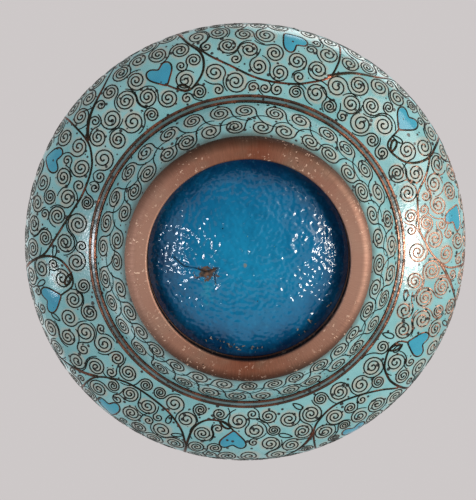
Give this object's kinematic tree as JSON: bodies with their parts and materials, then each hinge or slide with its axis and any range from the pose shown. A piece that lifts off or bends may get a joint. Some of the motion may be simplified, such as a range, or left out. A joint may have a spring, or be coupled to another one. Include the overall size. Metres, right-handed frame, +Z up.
{
  "type": "bottle vase",
  "caption": "Small round-bellied bottle vase with a tall flared neck, copper wire scrollwork over turquoise enamel and a copper foot ring.",
  "frame": {"origin": "centre of the plane that the foot ring stands on, on the vase's axis", "axes": "+Z up the axis to the mouth, +X and +Y across; the near hearts on the lower belly are at azimuths 29, 94, 166.5, 244.5 and 321 degrees"},
  "size_m": [0.09, 0.09, 0.1153],
  "materials": {
    "worn_copper": "satin",
    "wire_copper": "satin",
    "shell_copper": "satin",
    "turquoise_enamel": "gloss",
    "border_enamel": "gloss",
    "heart_enamel": "gloss",
    "blue_counter_enamel": "gloss"
  },
  "bodies": {
    "root": {"base_disc": "shell_copper", "base_enamel": "blue_counter_enamel", "base_lining": "blue_counter_enamel", "belly_lower_enamel": "turquoise_enamel", "belly_lower_shell": "shell_copper", "belly_upper_enamel": "turquoise_enamel", "belly_upper_shell": "shell_copper", "body_lining": "blue_counter_enamel", "foot_border_enamel": "border_enamel", "foot_border_wire_inner": "wire_copper", "foot_border_wire_outer": "wire_copper", "foot_collar": "shell_copper", "foot_collar_enamel": "turquoise_enamel", "foot_ring": "worn_copper", "lower_heart_cell_1": "wire_copper", "lower_heart_cell_2": "wire_copper", "lower_heart_cell_3": "wire_copper", "lower_heart_cell_4": "wire_copper", "lower_heart_cell_5": "wire_copper", "lower_heart_enamel_1": "heart_enamel", "lower_heart_enamel_2": "heart_enamel", "lower_heart_enamel_3": "heart_enamel", "lower_heart_enamel_4": "heart_enamel", "lower_heart_enamel_5": "heart_enamel", "mouth_border_enamel": "border_enamel", "mouth_border_wire_lower": "wire_copper", "mouth_border_wire_upper": "wire_copper", "mouth_enamel": "turquoise_enamel", "mouth_rim": "worn_copper", "neck_enamel": "turquoise_enamel", "neck_tube": "shell_copper", "shoulder_border_enamel": "border_enamel", "shoulder_border_wire_lower": "wire_copper", "shoulder_border_wire_upper": "wire_copper", "side_heart_cell_1": "wire_copper", "side_heart_cell_2": "wire_copper", "side_heart_cell_3": "wire_copper", "side_heart_cell_4": "wire_copper", "side_heart_cell_5": "wire_copper", "side_heart_enamel_1": "heart_enamel", "side_heart_enamel_2": "heart_enamel", "side_heart_enamel_3": "heart_enamel", "side_heart_enamel_4": "heart_enamel", "side_heart_enamel_5": "heart_enamel", "upper_heart_cell_1": "wire_copper", "upper_heart_cell_2": "wire_copper", "upper_heart_cell_3": "wire_copper", "upper_heart_cell_4": "wire_copper", "upper_heart_cell_5": "wire_copper", "upper_heart_enamel_1": "heart_enamel", "upper_heart_enamel_2": "heart_enamel", "upper_heart_enamel_3": "heart_enamel", "upper_heart_enamel_4": "heart_enamel", "upper_heart_enamel_5": "heart_enamel"}
  },
  "joints": []
}
